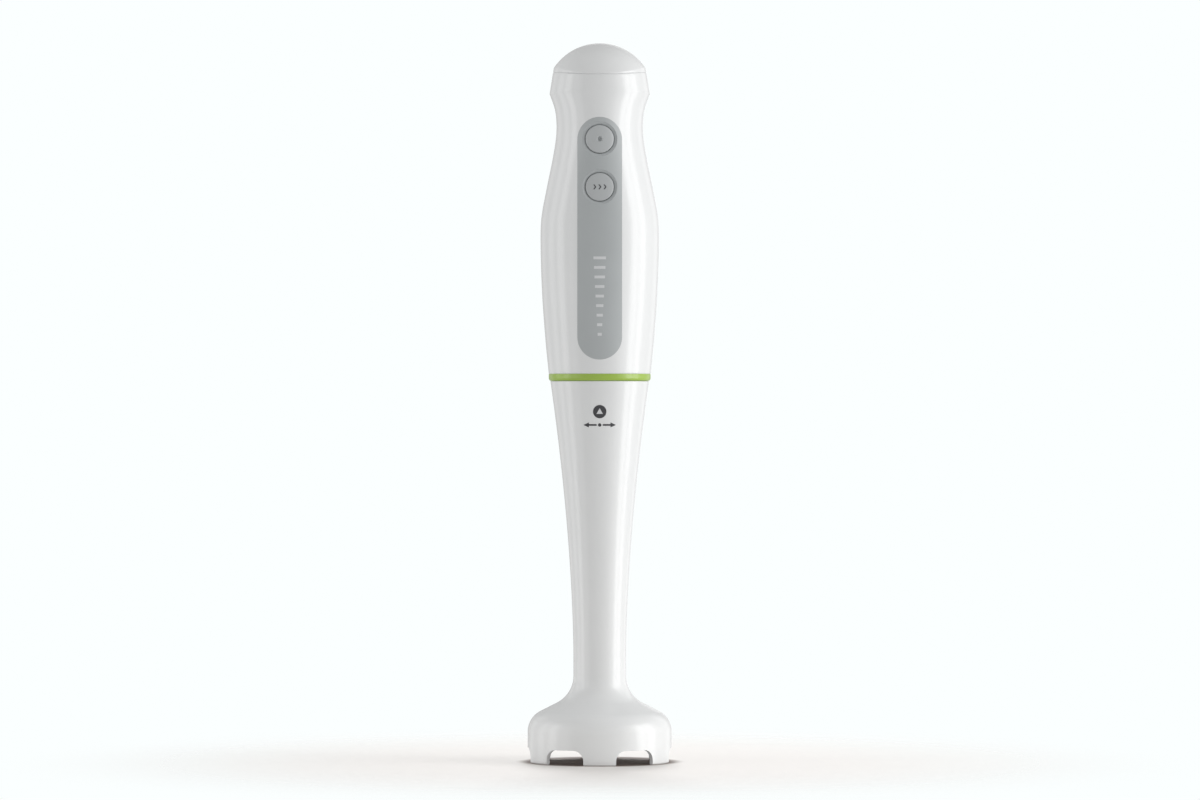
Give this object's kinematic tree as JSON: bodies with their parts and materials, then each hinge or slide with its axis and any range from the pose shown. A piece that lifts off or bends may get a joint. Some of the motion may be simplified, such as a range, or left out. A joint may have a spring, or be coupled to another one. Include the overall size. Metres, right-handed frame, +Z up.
{
  "type": "immersion blender",
  "caption": "Hand-held stick blender: motor handle with push buttons on a grey panel, green ring and a detachable white wand with a notched blade guard.",
  "frame": {"origin": "middle of the six feet of the blade guard, on the surface that it stands on", "axes": "+Z up along the shaft from the blade to the handle's cap; the buttons face -Y, so +X is on the right of a person facing them"},
  "size_m": [0.0762, 0.0762, 0.38],
  "materials": {
    "white_plastic": "satin gloss",
    "wand_plastic": "satin gloss",
    "panel_grey": "fine matt grey",
    "button_grey": "fine matt grey",
    "ring_green": "gloss",
    "spigot_grey": "satin",
    "collar_grey": "satin",
    "gland_rubber": "matt",
    "dark_rubber": "matt",
    "seal_rubber": "matt",
    "screw_steel": "zinc plated",
    "shaft_steel": "ground",
    "spring_steel": "bright wire",
    "blade_steel": "brushed",
    "core_steel": "laminated",
    "winding_copper": "enamelled copper wire",
    "commutator_copper": "copper",
    "bush_bronze": "sintered bronze",
    "holder_brass": "plain",
    "carbon": "matt",
    "bracket_nylon": "moulded",
    "natural_nylon": "moulded",
    "clamp_plastic": "moulded",
    "board_green": "solder mask",
    "switch_black": "moulded",
    "plunger_red": "moulded",
    "capacitor_yellow": "moulded box",
    "ferrite": "matt",
    "lead_brown": "flexible sheath",
    "lead_blue": "flexible sheath"
  },
  "bodies": {
    "handle": {"front_housing": "white_plastic", "rear_housing": "white_plastic", "top_cap": "white_plastic", "control_panel": "panel_grey", "trim_ring": "ring_green", "bayonet_spigot": "spigot_grey", "housing_screws": "screw_steel", "cord_gland": "gland_rubber", "cord_clamp": "clamp_plastic", "clamp_screws": "screw_steel", "mains_terminal": "natural_nylon", "switch_bracket": "bracket_nylon", "circuit_board": "board_green", "speed_switch": "switch_black", "turbo_switch": "switch_black", "suppression_capacitor": "capacitor_yellow", "bridge_rectifier": "switch_black", "inductor": "ferrite", "live_lead": "lead_brown", "neutral_lead": "lead_blue", "stator_core": "core_steel", "field_coils": "winding_copper", "upper_motor_bracket": "bracket_nylon", "lower_motor_bracket": "bracket_nylon", "upper_motor_bush": "bush_bronze", "lower_motor_bush": "bush_bronze", "brush_holders": "holder_brass", "carbon_brushes": "carbon", "brush_springs": "spring_steel", "upper_motor_mount": "dark_rubber", "lower_motor_mount": "dark_rubber", "motor_screws": "screw_steel", "speed_spring": "spring_steel", "turbo_spring": "spring_steel"},
    "rotor": {"motor_shaft": "shaft_steel", "armature_core": "core_steel", "armature_winding": "winding_copper", "commutator": "commutator_copper", "cooling_fan": "natural_nylon", "motor_coupler": "natural_nylon"},
    "seal": {"spigot_seal": "seal_rubber"},
    "wand": {"wand_shell": "wand_plastic", "lock_collar": "collar_grey", "upper_shaft_bush": "bush_bronze", "lower_shaft_bush": "bush_bronze", "shaft_guide": "natural_nylon", "lip_seal": "seal_rubber"},
    "drive": {"drive_shaft": "shaft_steel", "shaft_coupler": "bracket_nylon", "shaft_clips": "spring_steel", "thrust_washers": "natural_nylon", "blade": "blade_steel", "blade_hub": "bracket_nylon", "blade_nut": "blade_steel"},
    "speed_button": {"speed_button": "button_grey"},
    "turbo_button": {"turbo_button": "button_grey"},
    "speed_plunger": {"speed_plunger": "plunger_red"},
    "turbo_plunger": {"turbo_plunger": "plunger_red"}
  },
  "joints": [
    {"name": "motor_spin", "type": "hinge", "parent": "handle", "child": "rotor", "pos_m": [0, 0, 0.23], "axis": [0, 0, 1], "continuous": true},
    {"name": "wand_twist", "type": "hinge", "parent": "handle", "child": "seal", "pos_m": [0, 0, 0.2004], "axis": [0, 0, 1], "range_deg": [0, 90]},
    {"name": "wand_drop", "type": "slide", "parent": "seal", "child": "wand", "axis": [0, 0, -1], "range_m": [0, 0.013]},
    {"name": "shaft_drop", "type": "slide", "parent": "rotor", "child": "drive", "axis": [0, 0, -1], "range_m": [0, 0.013]},
    {"name": "speed_button_press", "type": "slide", "parent": "handle", "child": "speed_button", "axis": [0, 1, 0], "range_m": [0, 0.0012], "stiffness_N_per_m": 1000, "springref_m": -0.0008, "deforming": ["speed_spring"]},
    {"name": "turbo_button_press", "type": "slide", "parent": "handle", "child": "turbo_button", "axis": [0, 1, 0], "range_m": [0, 0.0012], "stiffness_N_per_m": 1000, "springref_m": -0.0008, "deforming": ["turbo_spring"]},
    {"name": "speed_plunger_press", "type": "slide", "parent": "handle", "child": "speed_plunger", "axis": [0, 1, 0], "range_m": [0, 0.0012]},
    {"name": "turbo_plunger_press", "type": "slide", "parent": "handle", "child": "turbo_plunger", "axis": [0, 1, 0], "range_m": [0, 0.0012]}
  ],
  "couplings": [
    {"joint": "wand_drop", "follows": "wand_twist", "m_per_rad": 0.0082761},
    {"joint": "shaft_drop", "follows": "wand_twist", "m_per_rad": 0.0082761},
    {"joint": "speed_plunger_press", "follows": "speed_button_press", "ratio": 1},
    {"joint": "turbo_plunger_press", "follows": "turbo_button_press", "ratio": 1}
  ]
}
